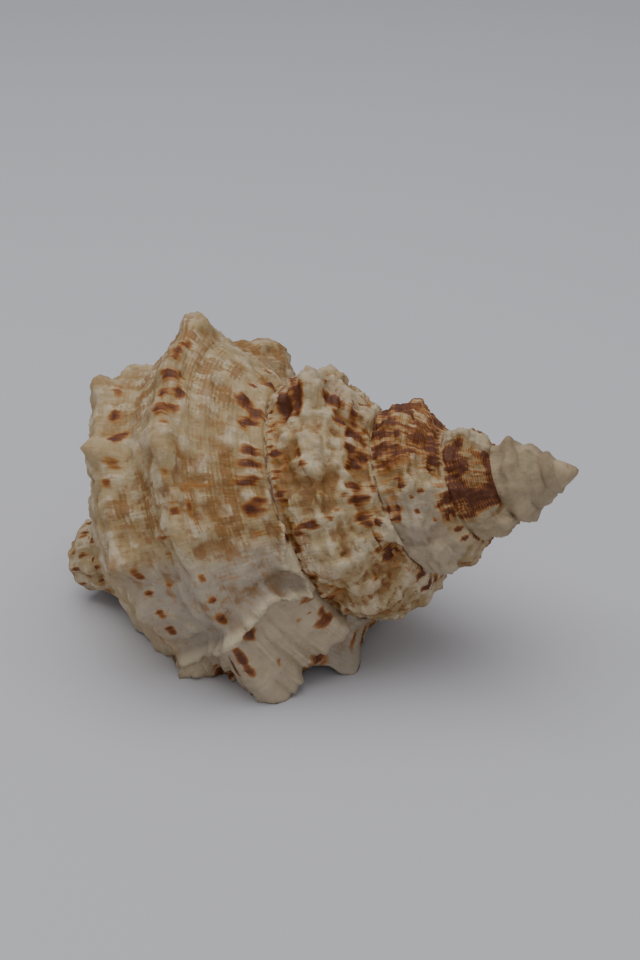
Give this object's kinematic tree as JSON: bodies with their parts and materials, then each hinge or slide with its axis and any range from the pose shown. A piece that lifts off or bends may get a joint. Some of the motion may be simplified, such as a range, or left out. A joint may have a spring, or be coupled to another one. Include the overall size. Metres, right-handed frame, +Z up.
{
  "type": "murex shell",
  "caption": "Large knobbed sea snail shell lying mouth down, with stepped whorls, flared old lips and a short open canal.",
  "frame": {"origin": "on the surface that the shell rests on, under the middle of its bounding box", "axes": "+Z up, +X along the plan view of the coiling axis towards the apex, -Y towards the side with the last old lip"},
  "size_m": [0.1566, 0.1218, 0.0876],
  "materials": {
    "shell": "matt chalky shell, cream with ochre and dark brown markings, satin on the old lips"
  },
  "bodies": {
    "root": {"shell": "shell"}
  },
  "joints": []
}
